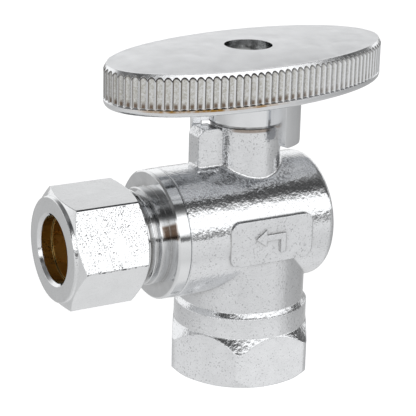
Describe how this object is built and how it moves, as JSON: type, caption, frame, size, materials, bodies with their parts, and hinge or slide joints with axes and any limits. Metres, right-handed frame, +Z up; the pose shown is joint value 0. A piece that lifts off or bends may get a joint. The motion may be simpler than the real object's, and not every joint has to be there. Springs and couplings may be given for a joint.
{
  "type": "angle stop valve",
  "caption": "Quarter-turn angle stop valve with an oval ribbed handle, a hexagonal pipe-thread inlet and a compression nut on the side outlet.",
  "frame": {"origin": "the centre of the inlet's end face, on the axis of the inlet and the stem", "axes": "+Z up along the stem, towards the handle, with the inlet opening down to -Z; the outlet opens to -X at z 23.4 mm; the plaque with the flow arrow faces -Y"},
  "size_m": [0.0559, 0.0256, 0.0505],
  "materials": {
    "cast_chrome": "chrome plating over a cast surface with a fine orange-peel texture",
    "turned_chrome": "chrome plating over turned brass",
    "nut_chrome": "smooth chrome plating",
    "handle_chrome": "satin top, bright ribbed rim, chrome plating over die-cast metal",
    "ball_chrome": "polished chrome plating",
    "ferrule_brass": "plain turned brass",
    "stem_brass": "plain turned brass",
    "seat_plastic": "white low-friction plastic",
    "seal_rubber": "black rubber",
    "screw_steel": "zinc-plated steel"
  },
  "bodies": {
    "valve_body": {"body": "cast_chrome", "outlet_adapter": "turned_chrome", "adapter_seal": "seal_rubber", "outlet_seat": "seat_plastic", "rear_seat": "seat_plastic", "stem_thrust_washer": "seat_plastic"},
    "turning_handle": {"handle": "handle_chrome", "handle_screw": "screw_steel", "stem": "stem_brass", "stem_o_ring_lower": "seal_rubber", "stem_o_ring_upper": "seal_rubber"},
    "turning_ball": {"ball": "ball_chrome"},
    "sliding_ferrule": {"compression_ferrule": "ferrule_brass"},
    "turning_nut": {"compression_nut": "nut_chrome"}
  },
  "joints": [
    {"name": "handle_turn", "type": "hinge", "parent": "valve_body", "child": "turning_handle", "pos_m": [0, 0, 0.0414], "axis": [0, 0, -1], "range_deg": [0, 90]},
    {"name": "ball_turn", "type": "hinge", "parent": "valve_body", "child": "turning_ball", "pos_m": [0, 0, 0.0234], "axis": [0, 0, -1], "range_deg": [0, 90]},
    {"name": "nut_travel", "type": "slide", "parent": "valve_body", "child": "sliding_ferrule", "axis": [-1, 0, 0], "range_m": [0, 0.00742]},
    {"name": "nut_turn", "type": "hinge", "parent": "sliding_ferrule", "child": "turning_nut", "pos_m": [-0.0255, 0, 0.0234], "axis": [-1, 0, 0], "range_deg": [0, 2520]}
  ],
  "couplings": [
    {"joint": "ball_turn", "follows": "handle_turn", "ratio": 1},
    {"joint": "nut_travel", "follows": "nut_turn", "m_per_rad": 0.00016844}
  ]
}
